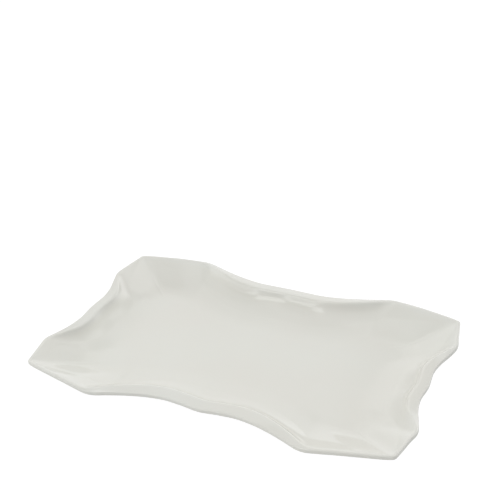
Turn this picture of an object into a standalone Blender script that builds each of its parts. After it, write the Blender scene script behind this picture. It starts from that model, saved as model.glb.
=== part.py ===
"""China serving platter: a long white platter with a wavy, folded-looking rim.

The platter is one casting of porcelain with a foot ring, covered with two patches of glaze.
Its frame has X along the length, Y along the width and +Z up. The origin is on the table,
in the middle of the foot ring.

The shape is lofted. A skeleton rectangle lies in the middle of the floor, and every section
of the platter runs straight out from the nearest point of that rectangle to the rim. All
lengths below are in millimetres.
"""
import math
from collections import namedtuple

import bmesh
import bpy

MM = 0.001

# Driving dimensions
FLOOR_TOP = 9.0            # height of the level floor above the table
FLOOR_THICKNESS = 4.4      # porcelain and glaze together
SIDE_THICKNESS = 4.2
LIP_THICKNESS = 4.2
SKELETON_X = 105.0         # half length of the rectangle that the sections start from
SKELETON_Y = 40.0          # its half width
CENTRE_RING = 6.0          # distance from the skeleton to the innermost ring of the loft

GLAZE = 0.3                # thickness of the fused glaze
BOND_GAP = 0.3             # clearance kept between glaze and porcelain
BODY_DEPTH = GLAZE + BOND_GAP

FOOT_OUTSIDE = 30.0        # distance from the skeleton to the outside of the foot ring
FOOT_WIDTH = 8.0
FOOT_BARE = 1.2            # height of the wiped strip above the table
FOOT_TAPER = 0.6           # the ring is narrower at the table on both sides
FOOT_CHAMFER = 0.5

EDGE_ROUND = 1.3           # rounding of the rim edge, above and below
CREST_ROUND = 3.5          # rounding of the crest where the side rolls over into the lip
UNDER_CREST_ROUND = 5.0    # the same bend seen from below is filled out
UNDER_LIP = 6.5            # least width of the strip under the rim
TOE_ROUND = 11.0           # level side of the bend where the floor starts to rise
TOE_SHARE = 0.30           # share of the ramp that is taken up by that bend
RAMP_SHARE = 0.60          # share of the ramp that is taken up by the bend into the side
SIDE_SHARE = 0.74          # share of the side that is taken up by the same bend
UNDER_TOE = 8.0            # margin between the foot ring and the underside's own toe
CREST_SIDE_SHARE = 0.22    # at most this share of the side goes into the crest's rounding
CREST_LIP_SHARE = 0.45     # and at most this share of the lip
UNDER_LIP_SHARE = 0.40     # share of the strip under the rim that goes into the bend below it
UNDER_CREST_SHARE = 0.25   # at most this share of the side goes into the same bend
UNDER_SIDE_SHARE = 0.60    # share of the side, seen from below, in the bend into the ramp
UNDER_RAMP_SHARE = 0.50    # share of the ramp in the same bend
LONGEST_ROUNDING = 0.97    # share of a straight run that one rounding may use up
LEAST_SHIFT = 0.01         # the under crest is always moved a little towards the side

SHARP_ANGLE = math.radians(35.0)

# One row for each station along a quarter of the rim, from the middle of a long side, round
# the corner tip, to the middle of a short side. x, y, z place the rim's top edge. The lip is
# the strip outside the crest, and rise is how far the crest stands above the edge. The crease
# is where the floor's ramp turns up into the side: its distance in from the edge, and its
# drop below the edge. Reach is the distance from the edge in to the level floor.
Station = namedtuple("Station", "x y z lip rise crease drop reach")
STATIONS = [
    Station(0.0, 126.0, 23.2, 15.0, 2.1, 23.0, 9.5, 68.0),      # middle of the long side
    Station(20.0, 124.3, 24.0, 15.0, 2.0, 23.0, 10.0, 66.0),
    Station(40.0, 123.6, 24.5, 15.5, 2.1, 24.0, 10.5, 65.0),    # where it is pinched in most
    Station(60.0, 126.6, 24.7, 15.0, 2.4, 24.0, 10.5, 65.0),
    Station(80.0, 132.2, 24.6, 12.5, 3.0, 23.0, 10.0, 65.0),
    Station(98.0, 138.8, 24.3, 9.5, 3.2, 22.0, 9.5, 64.0),
    Station(111.0, 143.9, 24.2, 6.5, 2.4, 24.0, 9.0, 63.0),
    Station(120.0, 145.0, 24.7, 4.0, 1.3, 27.0, 9.0, 62.0),     # long side's outward bend
    Station(130.0, 143.4, 25.4, 3.0, 0.6, 27.0, 8.5, 60.0),
    Station(150.0, 139.2, 26.6, 3.0, 0.4, 22.0, 6.8, 57.0),
    Station(175.0, 133.2, 27.1, 3.0, 0.3, 12.0, 3.6, 55.0),
    Station(196.5, 127.4, 27.3, 3.0, 0.2, 6.0, 1.4, 57.0),
    Station(201.6, 124.6, 27.3, 3.0, 0.1, 5.0, 1.0, 60.0),      # corner tip
    Station(203.4, 118.0, 26.9, 3.0, 0.2, 6.0, 1.4, 57.0),
    Station(207.6, 95.5, 26.6, 3.0, 0.4, 14.0, 4.5, 52.0),
    Station(210.6, 78.5, 25.5, 3.5, 0.8, 20.0, 7.5, 50.0),      # short side's outward bend
    Station(207.0, 63.0, 24.3, 8.0, 2.0, 18.0, 8.5, 50.0),
    Station(201.5, 45.0, 24.2, 11.5, 1.4, 18.5, 9.5, 51.0),
    Station(198.6, 26.0, 24.4, 12.0, 1.0, 19.0, 10.0, 52.0),    # where it is pinched in most
    Station(200.3, 0.0, 23.8, 12.0, 1.0, 19.0, 9.5, 52.0),      # middle of the short side
]

# A corner of a section's outline: where it is, how far its rounding starts before the corner
# and ends after it, and how many straight pieces the rounding has. None leaves it sharp.
Bend = namedtuple("Bend", "s z before after pieces")

GLAZED_WHITE = (0.80, 0.80, 0.77, 1.0)
BARE_PORCELAIN = (0.70, 0.68, 0.63, 1.0)
RECESS_WHITE = (0.76, 0.77, 0.75, 1.0)
BARE_ROUGHNESS = 0.65
GLAZE_ROUGHNESS = 0.12
RECESS_ROUGHNESS = 0.18


def clear_scene():
    for old in list(bpy.data.objects):
        bpy.data.objects.remove(old, do_unlink=True)


def material(name, colour, roughness):
    made = bpy.data.materials.new(name)
    made.use_nodes = True
    shader = made.node_tree.nodes["Principled BSDF"]
    shader.inputs["Base Color"].default_value = colour
    shader.inputs["Roughness"].default_value = roughness
    shader.inputs["Metallic"].default_value = 0.0
    made.diffuse_color = colour
    return made


def distance(a, b):
    return math.hypot(a[0] - b[0], a[1] - b[1])


def upward_normal(a, b):
    """The upward normal of the outline's piece from a out to b."""
    length = distance(a, b)
    return (a[1] - b[1]) / length, (b[0] - a[0]) / length


def lowered(corners, depths):
    """Move an outline's corners down, by depths measured square to the pieces between them.

    Returns the moved corners and, for each, the tangent of half its bend, positive upward.
    """
    moved = []
    bends = []
    last = len(corners) - 2
    for i, ((s, z), depth) in enumerate(zip(corners, depths)):
        first = max(i - 1, 0)
        following = min(i, last)
        before = upward_normal(corners[first], corners[first + 1])
        after = upward_normal(corners[following], corners[following + 1])
        share = 1.0 + before[0] * after[0] + before[1] * after[1]
        moved.append((s - depth * (before[0] + after[0]) / share,
                      z - depth * (before[1] + after[1]) / share))
        bends.append((before[0] * after[1] - before[1] * after[0]) / share)
    return moved, bends


def towards(a, b, length):
    """The point at a given length from a on the way to b, at most nearly all the way."""
    share = min(length / distance(a, b), LONGEST_ROUNDING)
    return a[0] + (b[0] - a[0]) * share, a[1] + (b[1] - a[1]) * share


def rounded(bends):
    """Points of an outline whose corners are replaced by parabolic bends."""
    points = []
    for i, bend in enumerate(bends):
        corner = (bend.s, bend.z)
        if not bend.pieces:
            points.append(corner)
            continue
        start = towards(corner, bends[i - 1][:2], bend.before)
        end = towards(corner, bends[i + 1][:2], bend.after)
        for k in range(bend.pieces + 1):
            t = k / bend.pieces
            points.append(tuple(
                (1 - t) ** 2 * start[axis] + 2 * t * (1 - t) * corner[axis] + t * t * end[axis]
                for axis in (0, 1)))
    return points


def skeleton_point(station):
    return min(station.x, SKELETON_X), min(station.y, SKELETON_Y)


def rim_distance(station):
    return distance((station.x, station.y), skeleton_point(station))


def top_corners(station):
    """Corners of the top's outline: floor, toe, crease, crest and rim edge."""
    edge = rim_distance(station)
    return [
        (CENTRE_RING, FLOOR_TOP),
        (edge - station.reach, FLOOR_TOP),
        (edge - station.crease, station.z - station.drop),
        (edge - station.lip, station.z + station.rise),
        (edge, station.z),
    ]


def full_bends(station, skin):
    """The outline from the middle of the floor, over the rim and back under to the foot ring.

    skin is the depth below the glazed surface.
    """
    corners = top_corners(station)
    toe, crease, crest, edge = corners[1:]
    ramp = distance(toe, crease)
    side = distance(crease, crest)
    lip = distance(crest, edge)
    rim = edge[0] - skin
    rim_round = EDGE_ROUND - skin / 2

    top, turns = lowered(corners, [skin] * len(corners))
    crest_before = min(CREST_ROUND, CREST_SIDE_SHARE * side)
    crest_after = min(CREST_ROUND, CREST_LIP_SHARE * lip)
    bends = [
        Bend(*top[0], 0.0, 0.0, 0),
        Bend(*top[1], TOE_ROUND, TOE_SHARE * ramp, 1),
        Bend(*top[2], RAMP_SHARE * ramp + skin * turns[2], SIDE_SHARE * side + skin * turns[2], 3),
        Bend(*top[3], crest_before + skin * turns[3], crest_after + skin * turns[3], 2),
        Bend(rim, top[4][1], rim_round, rim_round, 1),
    ]

    thickness = [FLOOR_THICKNESS, FLOOR_THICKNESS, SIDE_THICKNESS, SIDE_THICKNESS, LIP_THICKNESS]
    under, turns = lowered(corners, [depth - skin for depth in thickness])
    under_crest = towards(under[3], under[2], max(UNDER_LIP - station.lip, LEAST_SHIFT))
    under_lip = max(UNDER_LIP, station.lip)
    under_toe = max(toe[0], FOOT_OUTSIDE + UNDER_TOE)
    bends += [
        Bend(rim, edge[1] - LIP_THICKNESS + skin, rim_round, rim_round, 1),
        Bend(*under_crest, UNDER_LIP_SHARE * under_lip,
             min(UNDER_CREST_ROUND, UNDER_CREST_SHARE * side), 1),
        Bend(*under[2], UNDER_SIDE_SHARE * side, UNDER_RAMP_SHARE * ramp, 2),
        Bend(under_toe, top_height(station, under_toe) - FLOOR_THICKNESS + skin, 0.0, 0.0, 0),
        Bend(FOOT_OUTSIDE - skin, top_height(station, FOOT_OUTSIDE) - FLOOR_THICKNESS + skin,
             0.0, 0.0, 0),
    ]
    return bends


def top_height(station, s):
    """Height of the level floor or of the ramp at distance s from the skeleton."""
    toe, crease = top_corners(station)[1:3]
    slope = (crease[1] - toe[1]) / (crease[0] - toe[0])
    return FLOOR_TOP + max(s - toe[0], 0.0) * slope


def foot_side(skin, outside):
    """A side of the foot ring as a function that gives its distance at a height."""
    if outside:
        wall = FOOT_OUTSIDE - skin
        lean = -FOOT_TAPER
    else:
        wall = FOOT_OUTSIDE - FOOT_WIDTH + skin
        lean = FOOT_TAPER
    top = FLOOR_TOP - FLOOR_THICKNESS
    return lambda z: wall + lean * (1.0 - min(z / top, 1.0))


def body_outline(station):
    outer = foot_side(BODY_DEPTH, True)
    inner = foot_side(BODY_DEPTH, False)
    ceiling = FLOOR_TOP - FLOOR_THICKNESS + BODY_DEPTH
    return rounded(full_bends(station, BODY_DEPTH)) + [
        (outer(FOOT_CHAMFER), FOOT_CHAMFER),
        (outer(0.0) - FOOT_CHAMFER, 0.0),
        (inner(0.0) + FOOT_CHAMFER, 0.0),
        (inner(FOOT_CHAMFER), FOOT_CHAMFER),
        (inner(ceiling), ceiling),
        (CENTRE_RING, ceiling),
    ]


def coat_outline(station, skin):
    """The glaze over the top, round the rim and down the outside of the foot ring."""
    outer = foot_side(skin, True)
    return rounded(full_bends(station, skin)) + [(outer(FOOT_BARE), FOOT_BARE)]


def recess_outline(station, skin):
    """The glaze under the floor and down the inside of the foot ring."""
    ceiling = FLOOR_TOP - FLOOR_THICKNESS + skin
    inner = foot_side(skin, False)
    return [(CENTRE_RING, ceiling), (inner(ceiling), ceiling), (inner(FOOT_BARE), FOOT_BARE)]


def placed(station, outline):
    """Put a section's outline in the platter's frame, in metres."""
    sx, sy = skeleton_point(station)
    edge = rim_distance(station)
    across = (station.x - sx) / edge
    along = (station.y - sy) / edge
    return [((sx + across * s) * MM, (sy + along * s) * MM, z * MM) for s, z in outline]


def all_round(outline_of):
    """Sections all the way round, counter-clockwise from the middle of the back."""
    quarter = [placed(station, outline_of(station)) for station in STATIONS]
    inner = quarter[1:-1]
    mirrored = [
        (quarter, 1, 1),
        (inner[::-1], 1, -1),
        (quarter, -1, -1),
        (inner[::-1], -1, 1),
    ]
    sections = []
    for group, mirror_x, mirror_y in mirrored:
        for section in group:
            sections.append([(x * mirror_x, y * mirror_y, z) for x, y, z in section])
    return sections


def join(mesh, near, far):
    """Close the strip between two rings with triangles."""
    for i, (a, b) in enumerate(zip(near, far)):
        following = (i + 1) % len(near)
        mesh.faces.new((a, near[following], far[following]))
        mesh.faces.new((a, far[following], b))


def close(mesh, ring):
    """Close a level ring with a fan."""
    middle = mesh.verts.new((0.0, 0.0, ring[0].co.z))
    for i, vertex in enumerate(ring):
        mesh.faces.new((middle, vertex, ring[(i + 1) % len(ring)]))


def solid(name, outlines, finish):
    """Loft one closed solid all the way round.

    One outline runs from the middle of the top to the middle of the underside. Of a pair,
    both start in the middle, and their far ends are joined.
    """
    mesh = bmesh.new()
    last_rings = []
    for outline_of in outlines:
        sections = all_round(outline_of)
        rings = [[mesh.verts.new(point) for point in ring] for ring in zip(*sections)]
        for near, far in zip(rings, rings[1:]):
            join(mesh, near, far)
        close(mesh, rings[0])
        last_rings.append(rings[-1])
    if len(last_rings) == 1:
        close(mesh, last_rings[0])
    else:
        join(mesh, *last_rings)
    bmesh.ops.recalc_face_normals(mesh, faces=mesh.faces)
    data = bpy.data.meshes.new(name)
    mesh.to_mesh(data)
    mesh.free()
    data.shade_smooth()
    data.set_sharp_from_angle(angle=SHARP_ANGLE)
    data.materials.append(finish)
    made = bpy.data.objects.new(name, data)
    bpy.context.collection.objects.link(made)


def skin_pair(outline_of):
    """The face and the back of a patch of glaze."""
    return [lambda station: outline_of(station, 0.0), lambda station: outline_of(station, GLAZE)]


def main():
    clear_scene()
    bare = material("bare_porcelain", BARE_PORCELAIN, BARE_ROUGHNESS)
    white = material("white_glaze", GLAZED_WHITE, GLAZE_ROUGHNESS)
    recess_white = material("recess_glaze", RECESS_WHITE, RECESS_ROUGHNESS)
    solid("platter_body", [body_outline], bare)
    solid("glaze_coat", skin_pair(coat_outline), white)
    solid("glaze_recess", skin_pair(recess_outline), recess_white)


main()
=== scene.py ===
"""Looks of the china serving platter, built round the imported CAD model.

The platter is one casting of white porcelain under two patches of glass glaze. The CAD model
holds these three pieces as coarse solids. Here each is lofted again from the same section
rules, with many more sections and rings, and gets its own node material. Lengths in the
section rules are in millimetres; everything placed in the scene is in metres.
"""
import math
from collections import namedtuple

import bmesh
import bpy
import numpy as np
from mathutils import Matrix, Vector, noise


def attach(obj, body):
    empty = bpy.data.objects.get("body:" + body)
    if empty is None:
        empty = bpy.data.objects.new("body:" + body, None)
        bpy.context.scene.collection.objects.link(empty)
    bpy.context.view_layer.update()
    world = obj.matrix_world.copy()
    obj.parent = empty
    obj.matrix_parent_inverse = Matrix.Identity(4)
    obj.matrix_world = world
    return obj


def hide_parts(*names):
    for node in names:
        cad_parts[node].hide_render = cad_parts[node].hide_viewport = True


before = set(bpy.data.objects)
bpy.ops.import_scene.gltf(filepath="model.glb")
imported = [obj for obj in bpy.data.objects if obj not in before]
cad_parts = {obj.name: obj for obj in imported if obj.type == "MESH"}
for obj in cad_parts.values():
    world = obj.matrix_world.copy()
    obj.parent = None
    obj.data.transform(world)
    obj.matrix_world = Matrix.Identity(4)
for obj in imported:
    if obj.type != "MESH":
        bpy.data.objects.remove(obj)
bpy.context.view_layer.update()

MM = 0.001

# Driving dimensions, the CAD model's own
FLOOR_TOP = 9.0            # height of the level floor above the table
FLOOR_THICKNESS = 4.4      # porcelain and glaze together
SIDE_THICKNESS = 4.2
LIP_THICKNESS = 4.2
SKELETON_X = 105.0         # half length of the rectangle that the sections start from
SKELETON_Y = 40.0          # its half width
CENTRE_RING = 6.0          # distance from the skeleton to the innermost ring of the loft
GLAZE = 0.3                # thickness of the fused glaze
FOOT_OUTSIDE = 30.0        # distance from the skeleton to the outside of the foot ring
FOOT_WIDTH = 8.0
FOOT_BARE = 1.2            # height of the wiped strip above the table
FOOT_TAPER = 0.6           # the ring is narrower at the table on both sides
EDGE_ROUND = 1.3           # rounding of the rim edge, above and below
CREST_ROUND = 3.5          # rounding of the crest where the side rolls over into the lip
UNDER_CREST_ROUND = 5.0    # the same bend seen from below is filled out
UNDER_LIP = 6.5            # least width of the strip under the rim
TOE_ROUND = 11.0           # level side of the bend where the floor starts to rise
TOE_SHARE = 0.30           # share of the ramp that is taken up by that bend
RAMP_SHARE = 0.60          # share of the ramp that is taken up by the bend into the side
SIDE_SHARE = 0.74          # share of the side that is taken up by the same bend
UNDER_TOE = 8.0            # margin between the foot ring and the underside's own toe
CREST_SIDE_SHARE = 0.22    # at most this share of the side goes into the crest's rounding
CREST_LIP_SHARE = 0.45     # and at most this share of the lip
UNDER_LIP_SHARE = 0.40     # share of the strip under the rim that goes into the bend below it
UNDER_CREST_SHARE = 0.25   # at most this share of the side goes into the same bend
UNDER_SIDE_SHARE = 0.60    # share of the side, seen from below, in the bend into the ramp
UNDER_RAMP_SHARE = 0.50    # share of the ramp in the same bend
LONGEST_ROUNDING = 0.97    # share of a straight run that one rounding may use up
LEAST_SHIFT = 0.01         # the under crest is always moved a little towards the side

# Fine dimensions, which the CAD model leaves out
BODY_SKIN = 0.32           # depth of the casting's own surface below the glazed one
FOOT_FILLET = 2.4          # the foot ring runs into the underside
FOOT_EDGE = 0.9            # rounding of the foot ring's two lower edges
FOLD_DEPTH = 0.28          # the fold at the foot of the sides is a very shallow valley
FOLD_SPREAD = 9.0          # distance over which its two banks level out
FOLD_BOTTOM = 0.8          # half the width of its rounded bottom
FOLD_BAND = 5.0            # half the width of the strip that has closely set rings
FOLD_FADE = 12.0           # towards the tips it fades, from where it is this near the lip
WARP = 0.10                # how far firing has moved the porcelain up or down
WARP_LENGTH = 55.0         # distance over which that changes

# One row for each station along a quarter of the rim, from the middle of a long side, round
# the corner tip, to the middle of a short side. x, y, z place the rim's top edge. The lip is
# the strip outside the crest, and rise is how far the crest stands above the edge. The crease
# is where the floor's ramp turns up into the side: its distance in from the edge, and its
# drop below the edge. Reach is the distance from the edge in to the level floor. Fold is the
# distance in to a faint crease that runs along the foot of the sides and out to the tips.
# x, y and z come from a symmetric curve that was fitted to the real rim, and the lip and rise
# started from a fit of the crest. The other columns were set one by one.
Station = namedtuple("Station", "x y z lip rise crease drop reach fold")
STATIONS = [
    Station(0.0, 126.0, 23.2, 15.0, 2.1, 23.0, 9.5, 68.0, 50.0),      # middle of the long side
    Station(20.0, 124.3, 24.0, 15.0, 2.0, 23.0, 10.0, 66.0, 49.0),
    Station(40.0, 123.6, 24.5, 15.5, 2.1, 24.0, 10.5, 65.0, 47.0),    # where it is pinched in most
    Station(60.0, 126.6, 24.7, 15.0, 2.4, 24.0, 10.5, 65.0, 45.5),
    Station(80.0, 132.2, 24.6, 12.5, 3.0, 23.0, 10.0, 65.0, 42.0),
    Station(98.0, 138.8, 24.3, 9.5, 3.2, 22.0, 9.5, 64.0, 37.0),
    Station(111.0, 143.9, 24.2, 6.5, 2.4, 24.0, 9.0, 63.0, 31.0),
    Station(120.0, 145.0, 24.7, 4.0, 1.3, 27.0, 9.0, 62.0, 27.5),     # long side's outward bend
    Station(130.0, 143.4, 25.4, 3.0, 0.6, 27.0, 8.5, 60.0, 26.0),
    Station(150.0, 139.2, 26.6, 3.0, 0.4, 22.0, 6.8, 57.0, 23.5),
    Station(175.0, 133.2, 27.1, 3.0, 0.3, 12.0, 3.6, 55.0, 15.5),
    Station(196.5, 127.4, 27.3, 3.0, 0.2, 6.0, 1.4, 57.0, 6.5),
    Station(201.6, 124.6, 27.3, 3.0, 0.1, 5.0, 1.0, 60.0, 5.0),      # corner tip
    Station(203.4, 118.0, 26.9, 3.0, 0.2, 6.0, 1.4, 57.0, 6.5),
    Station(207.6, 95.5, 26.6, 3.0, 0.4, 14.0, 4.5, 52.0, 15.0),
    Station(210.6, 78.5, 25.5, 3.5, 0.8, 20.0, 7.5, 50.0, 21.0),      # short side's outward bend
    Station(207.0, 63.0, 24.3, 8.0, 2.0, 18.0, 8.5, 50.0, 26.5),
    Station(201.5, 45.0, 24.2, 11.5, 1.4, 18.5, 9.5, 51.0, 31.0),
    Station(198.6, 26.0, 24.4, 12.0, 1.0, 19.0, 10.0, 52.0, 33.5),    # where it is pinched in most
    Station(200.3, 0.0, 23.8, 12.0, 1.0, 19.0, 9.5, 52.0, 35.0),      # middle of the short side
]

# Fineness of the loft
SECTION_SPACING = 3.8      # along the rim, between one section and the next
LEAST_SECTIONS = 4         # between one station and the next, however close they are
FINE = 5                   # straight pieces in a bend for each one that the CAD model has
STRAIGHT = 3               # pieces that each straight run is divided into
FLOOR_RINGS = 10           # rings from the innermost one to the fold's strip
SIDE_RINGS = 28            # rings from the fold's strip to the crest
FOLD_RINGS = (-1.0, -0.7, -0.45, -0.28, -0.16, -0.07, 0.0, 0.07, 0.16, 0.28, 0.45, 0.7, 1.0)
MIDDLE_RINGS = 8           # rings from the innermost one to the middle
SHARP_ANGLE = math.radians(50.0)     # an edge that turns further than this stays hard

# Glaze runs off outward bends and pools in inward ones while it melts
POOL_REACH = 5.0           # distance along the section over which a bend draws it
POOL_LEVEL = 0.4           # on a flat surface, between 0 where it is thinnest and 1
POOL_GAIN = 1.6            # change of that for each radian of the bend

# A corner of a section's outline: where it is, how far its rounding starts before the corner
# and ends after it, and how many straight pieces the rounding has. None leaves it sharp.
Bend = namedtuple("Bend", "s z before after pieces")
CREST = 3                  # the crest's place among the corners of the top

# Camera: where it stands, where it looks, and its lens, as solved together with the rim's curve
CAMERA_PLACE = (0.3864, -0.8545, 0.6455)
CAMERA_DOWN = math.radians(28.08)
CAMERA_LEFT = math.radians(24.48)
CAMERA_ROLL = math.radians(-1.09)
CAMERA_LENS = 75.6         # millimetres, on a sensor 36 mm wide

# Studio
TABLE_SIZE = 60.0
TABLE_GAP = 0.0002         # keeps the table clear of the foot that stands on it
TABLE_COLOUR = (0.72, 0.72, 0.72, 1.0)
TABLE_ROUGHNESS = 0.9
TABLE_GLOW = 1.15          # strength of the light that is mixed into the table's surface
TABLE_GLOW_SHARE = 0.85    # share of that light in the mix, as the camera sees it
TABLE_MIRRORED_SHARE = 0.40          # the same, as the glaze mirrors it
STUDIO_COLOUR = (1.0, 1.0, 1.0, 1.0)
STUDIO_LEVEL = 1.06        # brightness of the studio outside its patches

# A round patch of the studio that is lit more or less than the rest: the direction of its
# middle, the cosines of the angles from there to its rim and to where it is at full strength,
# and by how much it differs
StudioPatch = namedtuple("StudioPatch", "x y z rim full change")
STUDIO_PATCHES = [
    StudioPatch(0.93, -0.32, 0.20, 0.15, 0.95, -0.48),     # unlit, to the right
    StudioPatch(0.20, -0.62, 0.76, 0.74, 0.93, -0.38),     # unlit, high behind the camera
    StudioPatch(-1.20, 0.35, 2.00, 0.955, 0.975, -0.50),   # gap between the lights overhead
    StudioPatch(0.20, 1.00, 0.15, 0.88, 0.98, 0.70),       # window low behind the platter
    StudioPatch(-0.80, -0.60, 0.10, 0.50, 0.95, 0.20),     # window low at the left
    StudioPatch(0.01, 0.56, 0.83, 0.970, 0.998, 0.60),     # lit, high behind the platter
    StudioPatch(-0.10, 0.82, 0.56, 0.982, 0.996, -0.35),   # unlit, just below that
    StudioPatch(-0.77, 0.60, 0.21, 0.900, 0.978, -0.52),   # unlit, low behind on the left
    StudioPatch(-0.38, 0.485, 0.79, 0.951, 0.990, -0.32),  # unlit, high behind on the left
    StudioPatch(-0.59, -0.25, 0.77, 0.900, 0.970, -0.55),  # unlit, high on the left
]

# A light box overhead: the middle, the size across and front to back, and the power in watts
LightBox = namedtuple("LightBox", "x y z across deep power")
LIGHT_BOXES = [
    LightBox(-1.05, -1.35, 2.00, 0.60, 1.70, 5.5),
    LightBox(-0.47, -0.43, 2.00, 0.37, 1.05, 2.1),
]

# How fine a noise is, in features to the metre, and how many finer layers it has
NoiseKind = namedtuple("NoiseKind", "scale detail")
GLAZE_CLOUDS = NoiseKind(9.0, 3.0)
GLAZE_GLOSS = NoiseKind(60.0, 4.0)
GLAZE_WAVES = NoiseKind(26.0, 1.0)
GLAZE_PEEL = NoiseKind(420.0, 2.0)
BARE_CLOUDS = NoiseKind(30.0, 5.0)
BARE_GRAIN = NoiseKind(1400.0, 3.0)

# Surfaces. Colours are linear; a pair is a range.
CLOUDS = (0.35, 0.65)      # the part of a noise's range that its values mostly fill
GLAZE_THIN = (0.812, 0.817, 0.768, 1.0)
GLAZE_DEEP = (0.792, 0.791, 0.722, 1.0)
GLAZE_WARM = (0.800, 0.793, 0.735, 1.0)
# The glaze under the floor is the same glaze as on top, painted darker: painted shade under the
# platter.
RECESS_SHADED_THIN = (0.785, 0.785, 0.755, 1.0)
RECESS_SHADED_DEEP = (0.750, 0.750, 0.715, 1.0)
RECESS_SHADED_WARM = (0.770, 0.762, 0.722, 1.0)
GLAZE_ROUGHNESS = (0.045, 0.085)
GLAZE_IOR = 1.55
WAVE_DEPTH = 0.00012       # slow waves in the glaze, in metres like the depths below
PEEL_DEPTH = 0.000006
SPECK_CELLS = 55.0         # cells in a metre, each with one speck in its middle
SPECK_SIZE = (0.006, 0.012)          # radius, as a share of a cell, where a speck starts to fade
SPECK_STRENGTH = 0.35
SPECK_COLOUR = (0.42, 0.36, 0.28, 1.0)
BARE_PALE = (0.66, 0.64, 0.59, 1.0)
BARE_CREAM = (0.60, 0.565, 0.495, 1.0)
BARE_ROUGHNESS = (0.58, 0.78)
RUBBED_GREY = (0.36, 0.35, 0.33, 1.0)
RUBBED_HEIGHT = (0.0, 0.0004)
RUBBED_STRENGTH = 0.5
GRAIN_DEPTH = 0.00003

# ---------------------------------------------------------------- sections


def distance(a, b):
    return math.hypot(a[0] - b[0], a[1] - b[1])


def upward_normal(a, b):
    """The upward normal of the outline's piece from a out to b."""
    length = distance(a, b)
    return (a[1] - b[1]) / length, (b[0] - a[0]) / length


def lowered(corners, depths):
    """Move an outline's corners down, by depths measured square to the pieces between them.

    Returns the moved corners and, for each, the tangent of half its bend, positive upward.
    """
    moved = []
    bends = []
    last = len(corners) - 2
    for i, ((s, z), depth) in enumerate(zip(corners, depths)):
        first = max(i - 1, 0)
        following = min(i, last)
        before = upward_normal(corners[first], corners[first + 1])
        after = upward_normal(corners[following], corners[following + 1])
        share = 1.0 + before[0] * after[0] + before[1] * after[1]
        moved.append((s - depth * (before[0] + after[0]) / share,
                      z - depth * (before[1] + after[1]) / share))
        bends.append((before[0] * after[1] - before[1] * after[0]) / share)
    return moved, bends


def towards(a, b, length):
    """The point at a given length from a on the way to b, at most nearly all the way."""
    share = min(length / distance(a, b), LONGEST_ROUNDING)
    return a[0] + (b[0] - a[0]) * share, a[1] + (b[1] - a[1]) * share


def between(a, b, pieces):
    """The inner points of the straight run from a to b."""
    return [tuple(a[axis] + (b[axis] - a[axis]) * k / pieces for axis in (0, 1))
            for k in range(1, pieces)]


def along(start, corner, end, t):
    """The point at share t of a parabolic span."""
    return tuple((1 - t) ** 2 * start[axis] + 2 * t * (1 - t) * corner[axis] + t * t * end[axis]
                 for axis in (0, 1))


def ends_of(bends, i):
    """Where the rounding of a corner starts and ends."""
    corner = bends[i][:2]
    if not bends[i].pieces:
        return corner, corner
    return (towards(corner, bends[i - 1][:2], bends[i].before),
            towards(corner, bends[i + 1][:2], bends[i].after))


def rounded(bends, first=0):
    """Points of an outline whose corners are replaced by parabolic bends, from one corner on."""
    points = []
    for i in range(first, len(bends)):
        start, end = ends_of(bends, i)
        if points:
            points += between(points[-1], start, STRAIGHT)
        pieces = bends[i].pieces * FINE
        points.append(start)
        points += [along(start, bends[i][:2], end, k / pieces) for k in range(1, pieces + 1)]
    return points


def height_on(bends, s):
    """Height of an outline that runs outward, at distance s, before its last corner."""
    start = bends[0][:2]
    for i in range(1, len(bends)):
        bend_start, bend_end = ends_of(bends, i)
        if s <= bend_start[0]:
            share = (s - start[0]) / (bend_start[0] - start[0])
            return start[1] + (bend_start[1] - start[1]) * share
        if s <= bend_end[0]:
            break
        start = bend_end
    reach = bends[i].s - bend_start[0]
    bow = bend_start[0] - 2 * bends[i].s + bend_end[0]
    gone = s - bend_start[0]
    t = gone / (reach + math.sqrt(reach * reach + bow * gone))
    return along(bend_start, bends[i][:2], bend_end, t)[1]


def inner_top(station, bends):
    """Points of the top from the middle to where the crest's rounding starts, with the fold."""
    crest_start = ends_of(bends, CREST)[0][0]
    fold = rim_distance(station) - station.fold
    strength = min(1.0, (station.fold - station.lip) / FOLD_FADE)
    band = FOLD_BAND * strength
    inside = np.linspace(CENTRE_RING, fold - band, FLOOR_RINGS, endpoint=False)
    outside = np.linspace(crest_start, fold + band, SIDE_RINGS, endpoint=False)[:0:-1]
    points = []
    for s in [*inside, *(fold + band * share for share in FOLD_RINGS), *outside]:
        away = math.hypot(s - fold, FOLD_BOTTOM) - FOLD_BOTTOM
        dip = FOLD_DEPTH * strength * math.exp(-away / FOLD_SPREAD)
        if s > fold:
            dip *= (1.0 - ((s - fold) / (crest_start - fold)) ** 2) ** 2
        points.append((s, height_on(bends, s) - dip))
    return points


def skeleton_point(station):
    return min(station.x, SKELETON_X), min(station.y, SKELETON_Y)


def rim_distance(station):
    return distance((station.x, station.y), skeleton_point(station))


def top_corners(station):
    """Corners of the top's outline: floor, toe, crease, crest and rim edge."""
    edge = rim_distance(station)
    return [
        (CENTRE_RING, FLOOR_TOP),
        (edge - station.reach, FLOOR_TOP),
        (edge - station.crease, station.z - station.drop),
        (edge - station.lip, station.z + station.rise),
        (edge, station.z),
    ]


def top_height(station, s):
    """Height of the level floor or of the ramp at distance s from the skeleton."""
    toe, crease = top_corners(station)[1:3]
    slope = (crease[1] - toe[1]) / (crease[0] - toe[0])
    return FLOOR_TOP + max(s - toe[0], 0.0) * slope


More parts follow.
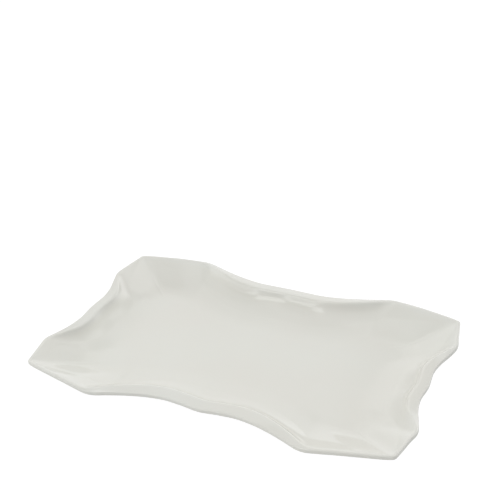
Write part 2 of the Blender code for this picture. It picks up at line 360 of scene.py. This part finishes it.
def full_bends(station, skin):
    """The outline from the middle of the floor, over the rim and back under to the foot ring.

    skin is the depth below the glazed surface.
    """
    corners = top_corners(station)
    toe, crease, crest, edge = corners[1:]
    ramp = distance(toe, crease)
    side = distance(crease, crest)
    lip = distance(crest, edge)
    rim = edge[0] - skin
    rim_round = EDGE_ROUND - skin / 2

    top, turns = lowered(corners, [skin] * len(corners))
    crest_before = min(CREST_ROUND, CREST_SIDE_SHARE * side)
    crest_after = min(CREST_ROUND, CREST_LIP_SHARE * lip)
    bends = [
        Bend(*top[0], 0.0, 0.0, 0),
        Bend(*top[1], TOE_ROUND, TOE_SHARE * ramp, 1),
        Bend(*top[2], RAMP_SHARE * ramp + skin * turns[2], SIDE_SHARE * side + skin * turns[2], 3),
        Bend(*top[3], crest_before + skin * turns[3], crest_after + skin * turns[3], 2),
        Bend(rim, top[4][1], rim_round, rim_round, 1),
    ]

    thickness = [FLOOR_THICKNESS, FLOOR_THICKNESS, SIDE_THICKNESS, SIDE_THICKNESS, LIP_THICKNESS]
    under, turns = lowered(corners, [depth - skin for depth in thickness])
    under_crest = towards(under[3], under[2], max(UNDER_LIP - station.lip, LEAST_SHIFT))
    under_lip = max(UNDER_LIP, station.lip)
    under_toe = max(toe[0], FOOT_OUTSIDE + UNDER_TOE)
    bends += [
        Bend(rim, edge[1] - LIP_THICKNESS + skin, rim_round, rim_round, 1),
        Bend(*under_crest, UNDER_LIP_SHARE * under_lip,
             min(UNDER_CREST_ROUND, UNDER_CREST_SHARE * side), 1),
        Bend(*under[2], UNDER_SIDE_SHARE * side, UNDER_RAMP_SHARE * ramp, 2),
        Bend(under_toe, top_height(station, under_toe) - FLOOR_THICKNESS + skin,
             UNDER_TOE / 2, UNDER_TOE / 2, 1),
        Bend(FOOT_OUTSIDE - skin, top_height(station, FOOT_OUTSIDE) - FLOOR_THICKNESS + skin,
             FOOT_FILLET + skin, FOOT_FILLET + skin, 1),
    ]
    return bends


def foot_side(skin, outside):
    """A side of the foot ring as a function that gives its distance at a height."""
    if outside:
        wall = FOOT_OUTSIDE - skin
        lean = -FOOT_TAPER
    else:
        wall = FOOT_OUTSIDE - FOOT_WIDTH + skin
        lean = FOOT_TAPER
    top = FLOOR_TOP - FLOOR_THICKNESS
    return lambda z: wall + lean * (1.0 - min(z / top, 1.0))


def whole_outline(station, skin, rest):
    """The top with its fold, round the rim, and back under to the corners in rest."""
    bends = full_bends(station, skin) + rest
    return inner_top(station, bends) + rounded(bends, CREST)


def body_outline(station):
    """The casting: all that the glaze covers, and the wiped foot."""
    outer = foot_side(BODY_SKIN, True)
    inner = foot_side(BODY_SKIN, False)
    ceiling = FLOOR_TOP - FLOOR_THICKNESS + BODY_SKIN
    return whole_outline(station, BODY_SKIN, [
        Bend(outer(0.0), 0.0, FOOT_EDGE, FOOT_EDGE, 1),
        Bend(inner(0.0), 0.0, FOOT_EDGE, FOOT_EDGE, 1),
        Bend(inner(ceiling), ceiling, FOOT_FILLET + BODY_SKIN, FOOT_FILLET + BODY_SKIN, 1),
        Bend(CENTRE_RING, ceiling, 0.0, 0.0, 0),
    ])


def coat_outline(station, skin):
    """The glaze over the top, round the rim and down the outside of the foot ring."""
    outer = foot_side(skin, True)
    return whole_outline(station, skin, [Bend(outer(FOOT_BARE), FOOT_BARE, 0.0, 0.0, 0)])


def recess_outline(station, skin):
    """The glaze under the floor and down the inside of the foot ring."""
    ceiling = FLOOR_TOP - FLOOR_THICKNESS + skin
    inner = foot_side(skin, False)
    return rounded([
        Bend(CENTRE_RING, ceiling, 0.0, 0.0, 0),
        Bend(inner(ceiling), ceiling, FOOT_FILLET + skin, FOOT_FILLET + skin, 1),
        Bend(inner(FOOT_BARE), FOOT_BARE, 0.0, 0.0, 0),
    ])


# ---------------------------------------------------------------- loft


def filled_stations():
    """Stations on a centripetal Catmull-Rom curve through the driving ones.

    Each end of the quarter is carried on by its own mirror image, so that the quarters meet
    smoothly.
    """
    rows = np.array(STATIONS)
    past_start = rows[1].copy()
    past_start[0] *= -1.0
    past_end = rows[-2].copy()
    past_end[1] *= -1.0
    rows = np.vstack([past_start, rows, past_end])
    lengths = np.linalg.norm(np.diff(rows[:, :3], axis=0), axis=1)
    knots = np.sqrt(lengths)
    slopes = np.diff(rows, axis=0) / knots[:, None]
    stations = []
    for i in range(1, len(rows) - 2):
        before, here, after = knots[i - 1:i + 2]
        leaving = (slopes[i - 1] * here + slopes[i] * before) / (before + here) * here
        arriving = (slopes[i] * after + slopes[i + 1] * here) / (here + after) * here
        count = max(LEAST_SECTIONS, round(lengths[i] / SECTION_SPACING))
        for k in range(count):
            t = k / count
            row = ((2 * t ** 3 - 3 * t ** 2 + 1) * rows[i] + (t ** 3 - 2 * t ** 2 + t) * leaving
                   + (3 * t ** 2 - 2 * t ** 3) * rows[i + 1] + (t ** 3 - t ** 2) * arriving)
            stations.append(Station(*row))
    stations.append(STATIONS[-1])
    return stations


def pooled(outline):
    """How thick the melted glaze lies at each point of an outline, from 0 to 1."""
    line = np.array(outline)
    steps = np.diff(line, axis=0)
    gone = np.concatenate([[0.0], np.cumsum(np.linalg.norm(steps, axis=1))])
    headings = np.unwrap(np.arctan2(steps[:, 1], steps[:, 0]))
    turns = np.concatenate([[0.0], np.diff(headings), [0.0]])
    near = np.exp(-((gone[:, None] - gone[None, :]) / POOL_REACH) ** 2)
    return np.clip(POOL_LEVEL + POOL_GAIN * near @ turns, 0.0, 1.0)


def placed(station, outline):
    """Put a section's outline in the platter's frame, in millimetres, with the glaze's depth."""
    sx, sy = skeleton_point(station)
    edge = rim_distance(station)
    outward_x = (station.x - sx) / edge
    outward_y = (station.y - sy) / edge
    return [(sx + outward_x * s, sy + outward_y * s, z, pool)
            for (s, z), pool in zip(outline, pooled(outline))]


def all_round(outline_of):
    """Sections all the way round, counter-clockwise from the middle of the back."""
    quarter = np.array([placed(station, outline_of(station)) for station in stations])
    inner = quarter[1:-1]
    return np.concatenate([
        quarter,
        inner[::-1] * (1, -1, 1, 1),
        quarter * (-1, -1, 1, 1),
        inner[::-1] * (-1, 1, 1, 1),
    ])


def warped(point):
    """A point moved up or down as firing left it. The foot stays level on the table."""
    x, y, z = point[:3]
    wave = noise.noise(Vector((x, y, 0.0)) / WARP_LENGTH)
    hold = min(max((z - FOOT_BARE) / FLOOR_THICKNESS, 0.0), 1.0)
    return x * MM, y * MM, (z + WARP * wave * hold) * MM


def strip(mesh, near, far):
    """Close the strip between two rings."""
    for i, (a, b) in enumerate(zip(near, far)):
        following = (i + 1) % len(near)
        mesh.faces.new((a, near[following], far[following], b))


def vertex_at(mesh, point):
    """A new vertex that carries the glaze's depth."""
    vertex = mesh.verts.new(warped(point))
    vertex[mesh.verts.layers.float["glaze_depth"]] = point[3]
    return vertex


def close(mesh, ring, points):
    """Close a level ring with smaller and smaller rings and a fan."""
    outer = ring
    middle = np.array([0.0, 0.0, points[0][2], points[0][3]])
    for k in range(MIDDLE_RINGS - 1, 0, -1):
        share = k / MIDDLE_RINGS
        smaller = [vertex_at(mesh, middle + (point - middle) * share) for point in points]
        strip(mesh, outer, smaller)
        outer = smaller
    centre = vertex_at(mesh, middle)
    for i, vertex in enumerate(outer):
        mesh.faces.new((centre, vertex, outer[(i + 1) % len(outer)]))


def solid(name, outlines, finish):
    """Loft one closed solid all the way round.

    One outline runs from the middle of the top to the middle of the underside. Of a pair,
    both start in the middle, and their far ends are joined.
    """
    mesh = bmesh.new()
    mesh.verts.layers.float.new("glaze_depth")
    last_rings = []
    for outline_of in outlines:
        sections = all_round(outline_of)
        rings = [[vertex_at(mesh, point) for point in sections[:, k]]
                 for k in range(sections.shape[1])]
        for near, far in zip(rings, rings[1:]):
            strip(mesh, near, far)
        close(mesh, rings[0], sections[:, 0])
        last_rings.append((rings[-1], sections[:, -1]))
    if len(last_rings) == 1:
        close(mesh, *last_rings[0])
    else:
        strip(mesh, last_rings[0][0], last_rings[1][0])
    bmesh.ops.recalc_face_normals(mesh, faces=mesh.faces)
    data = bpy.data.meshes.new(name)
    mesh.to_mesh(data)
    mesh.free()
    data.shade_smooth()
    data.set_sharp_from_angle(angle=SHARP_ANGLE)
    data.materials.append(finish)
    made = bpy.data.objects.new(name, data)
    bpy.context.collection.objects.link(made)
    return made


def skin_pair(outline_of):
    """The face and the back of a patch of glaze."""
    return [lambda station: outline_of(station, 0.0), lambda station: outline_of(station, GLAZE)]


# ---------------------------------------------------------------- materials


def new_material(name):
    made = bpy.data.materials.new(name)
    made.use_nodes = True
    nodes = made.node_tree.nodes
    return made, nodes, made.node_tree.links, nodes["Principled BSDF"]


def add_noise(nodes, links, place, kind):
    """Noise over the object's own coordinates, in metres."""
    made = nodes.new("ShaderNodeTexNoise")
    made.inputs["Scale"].default_value = kind.scale
    made.inputs["Detail"].default_value = kind.detail
    links.new(place.outputs["Object"], made.inputs["Vector"])
    return made.outputs["Fac"]


def add_range(nodes, links, value, source, result):
    """Map a value from one range onto another, and keep it there."""
    made = nodes.new("ShaderNodeMapRange")
    made.inputs["From Min"].default_value = source[0]
    made.inputs["From Max"].default_value = source[1]
    made.inputs["To Min"].default_value = result[0]
    made.inputs["To Max"].default_value = result[1]
    links.new(value, made.inputs["Value"])
    return made.outputs["Result"]


def add_blend(nodes, links, share, first, second):
    """A colour that goes from the first to the second. Each is a colour or a socket."""
    made = nodes.new("ShaderNodeMix")
    made.data_type = "RGBA"
    links.new(share, made.inputs["Factor"])
    for socket, colour in zip((made.inputs["A"], made.inputs["B"]), (first, second)):
        if isinstance(colour, tuple):
            socket.default_value = colour
        else:
            links.new(colour, socket)
    return made.outputs["Result"]


def add_bump(nodes, links, height, depth, below=None):
    """A bump of a depth in metres, on top of another one."""
    made = nodes.new("ShaderNodeBump")
    made.inputs["Distance"].default_value = depth
    links.new(height, made.inputs["Height"])
    if below is not None:
        links.new(below, made.inputs["Normal"])
    return made.outputs["Normal"]


def glaze_material(name, thin, deep, warm):
    """Clear glass fused over white porcelain: whiter where thin, creamier where it pooled."""
    made, nodes, links, shader = new_material(name)
    place = nodes.new("ShaderNodeTexCoord")
    depth = nodes.new("ShaderNodeAttribute")
    depth.attribute_name = "glaze_depth"
    body = add_blend(nodes, links, depth.outputs["Fac"], thin, deep)
    clouds = add_range(nodes, links, add_noise(nodes, links, place, GLAZE_CLOUDS), CLOUDS, (0.0, 1.0))
    body = add_blend(nodes, links, clouds, body, warm)
    cells = nodes.new("ShaderNodeTexVoronoi")
    cells.inputs["Scale"].default_value = SPECK_CELLS
    links.new(place.outputs["Object"], cells.inputs["Vector"])
    specks = add_range(nodes, links, cells.outputs["Distance"], SPECK_SIZE, (SPECK_STRENGTH, 0.0))
    body = add_blend(nodes, links, specks, body, SPECK_COLOUR)
    links.new(body, shader.inputs["Base Color"])
    fine = add_noise(nodes, links, place, GLAZE_GLOSS)
    links.new(add_range(nodes, links, fine, CLOUDS, GLAZE_ROUGHNESS), shader.inputs["Roughness"])
    shader.inputs["IOR"].default_value = GLAZE_IOR
    wave = add_bump(nodes, links, add_noise(nodes, links, place, GLAZE_WAVES), WAVE_DEPTH)
    peel = add_bump(nodes, links, add_noise(nodes, links, place, GLAZE_PEEL), PEEL_DEPTH, wave)
    links.new(peel, shader.inputs["Normal"])
    return made


def bare_material():
    """Unglazed porcelain: matt, finely grained, and a little grey where it rubs the table."""
    made, nodes, links, shader = new_material("bare_porcelain_surface")
    place = nodes.new("ShaderNodeTexCoord")
    clouds = add_range(nodes, links, add_noise(nodes, links, place, BARE_CLOUDS), CLOUDS, (0.0, 1.0))
    body = add_blend(nodes, links, clouds, BARE_PALE, BARE_CREAM)
    split = nodes.new("ShaderNodeSeparateXYZ")
    links.new(place.outputs["Object"], split.inputs["Vector"])
    rubbed = add_range(nodes, links, split.outputs["Z"], RUBBED_HEIGHT, (RUBBED_STRENGTH, 0.0))
    patchy = nodes.new("ShaderNodeMath")
    patchy.operation = "MULTIPLY"
    links.new(rubbed, patchy.inputs[0])
    links.new(clouds, patchy.inputs[1])
    body = add_blend(nodes, links, patchy.outputs["Value"], body, RUBBED_GREY)
    links.new(body, shader.inputs["Base Color"])
    grain = add_noise(nodes, links, place, BARE_GRAIN)
    links.new(add_range(nodes, links, grain, CLOUDS, BARE_ROUGHNESS), shader.inputs["Roughness"])
    links.new(add_bump(nodes, links, grain, GRAIN_DEPTH), shader.inputs["Normal"])
    return made


# ---------------------------------------------------------------- set, camera and light


def add_stage():
    """A plain table that looks white to the camera, but lights the platter as grey card would."""
    bpy.ops.mesh.primitive_plane_add(size=TABLE_SIZE, location=(0.0, 0.0, -TABLE_GAP))
    table = bpy.context.object
    table.name = "table"
    made, nodes, links, card = new_material("table_white")
    card.inputs["Base Color"].default_value = TABLE_COLOUR
    card.inputs["Roughness"].default_value = TABLE_ROUGHNESS
    lit = nodes.new("ShaderNodeEmission")
    lit.inputs["Strength"].default_value = TABLE_GLOW
    seen = nodes.new("ShaderNodeLightPath")
    share = nodes.new("ShaderNodeMath")
    share.operation = "MULTIPLY"
    share.inputs[1].default_value = TABLE_GLOW_SHARE
    links.new(seen.outputs["Is Camera Ray"], share.inputs[0])
    mirrored = nodes.new("ShaderNodeMath")
    mirrored.operation = "MULTIPLY_ADD"
    mirrored.inputs[1].default_value = TABLE_MIRRORED_SHARE
    links.new(seen.outputs["Is Glossy Ray"], mirrored.inputs[0])
    links.new(share.outputs["Value"], mirrored.inputs[2])
    both = nodes.new("ShaderNodeMixShader")
    links.new(mirrored.outputs["Value"], both.inputs["Fac"])
    links.new(card.outputs["BSDF"], both.inputs[1])
    links.new(lit.outputs["Emission"], both.inputs[2])
    links.new(both.outputs["Shader"], nodes["Material Output"].inputs["Surface"])
    table.data.materials.append(made)


def add_camera():
    forward = Vector((
        -math.sin(CAMERA_LEFT) * math.cos(CAMERA_DOWN),
        math.cos(CAMERA_LEFT) * math.cos(CAMERA_DOWN),
        -math.sin(CAMERA_DOWN),
    ))
    level = Vector((math.cos(CAMERA_LEFT), math.sin(CAMERA_LEFT), 0.0))
    upright = level.cross(forward)
    right = math.cos(CAMERA_ROLL) * level + math.sin(CAMERA_ROLL) * upright
    up = math.cos(CAMERA_ROLL) * upright - math.sin(CAMERA_ROLL) * level
    turn = Matrix((right, up, -forward)).transposed().to_4x4()
    camera = bpy.data.objects.new("camera", bpy.data.cameras.new("camera"))
    camera.matrix_world = Matrix.Translation(CAMERA_PLACE) @ turn
    camera.data.lens = CAMERA_LENS
    bpy.context.collection.objects.link(camera)
    bpy.context.scene.camera = camera


def add_studio():
    """A white studio with softly bounded patches that are brighter or darker."""
    world = bpy.data.worlds.new("studio")
    world.use_nodes = True
    bpy.context.scene.world = world
    nodes = world.node_tree.nodes
    links = world.node_tree.links
    where = nodes.new("ShaderNodeTexCoord")
    total = nodes.new("ShaderNodeValue").outputs["Value"]
    total.default_value = STUDIO_LEVEL
    for patch in STUDIO_PATCHES:
        facing = nodes.new("ShaderNodeVectorMath")
        facing.operation = "DOT_PRODUCT"
        facing.inputs[1].default_value = Vector(patch[:3]).normalized()
        links.new(where.outputs["Generated"], facing.inputs[0])
        change = nodes.new("ShaderNodeMapRange")
        change.interpolation_type = "SMOOTHSTEP"
        change.inputs["From Min"].default_value = patch.rim
        change.inputs["From Max"].default_value = patch.full
        change.inputs["To Min"].default_value = 0.0
        change.inputs["To Max"].default_value = patch.change
        links.new(facing.outputs["Value"], change.inputs["Value"])
        added = nodes.new("ShaderNodeMath")
        added.operation = "ADD"
        links.new(total, added.inputs[0])
        links.new(change.outputs["Result"], added.inputs[1])
        total = added.outputs["Value"]
    back = nodes["Background"]
    back.inputs["Color"].default_value = STUDIO_COLOUR
    links.new(total, back.inputs["Strength"])


def add_light_boxes():
    """Long boxes overhead, which the wavy back wall mirrors as light streaks."""
    for box in LIGHT_BOXES:
        data = bpy.data.lights.new("light_box", "AREA")
        data.shape = "RECTANGLE"
        data.size = box.across
        data.size_y = box.deep
        data.energy = box.power
        made = bpy.data.objects.new("light_box", data)
        made.location = (box.x, box.y, box.z)
        made.visible_camera = False
        bpy.context.collection.objects.link(made)


stations = filled_stations()
white = glaze_material("white_glaze_surface", GLAZE_THIN, GLAZE_DEEP, GLAZE_WARM)
# A darker copy of the white glaze for the recess under the floor: painted shade.
recess_shaded_white = glaze_material("recess_glaze_painted_shade", RECESS_SHADED_THIN, RECESS_SHADED_DEEP, RECESS_SHADED_WARM)
body = solid("china_casting", [body_outline], bare_material())
coat = solid("china_glaze", skin_pair(coat_outline), white)
recess = solid("china_recess_glaze", skin_pair(recess_outline), recess_shaded_white)
for piece, node, slot in (
    (body, "platter_body", "bare_porcelain"),
    (coat, "glaze_coat", "white_glaze"),
    (recess, "glaze_recess", "white_glaze"),
):
    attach(piece, "root")
    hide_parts(node)

add_stage()
add_camera()
add_studio()
add_light_boxes()
bpy.context.scene.view_settings.view_transform = "Standard"
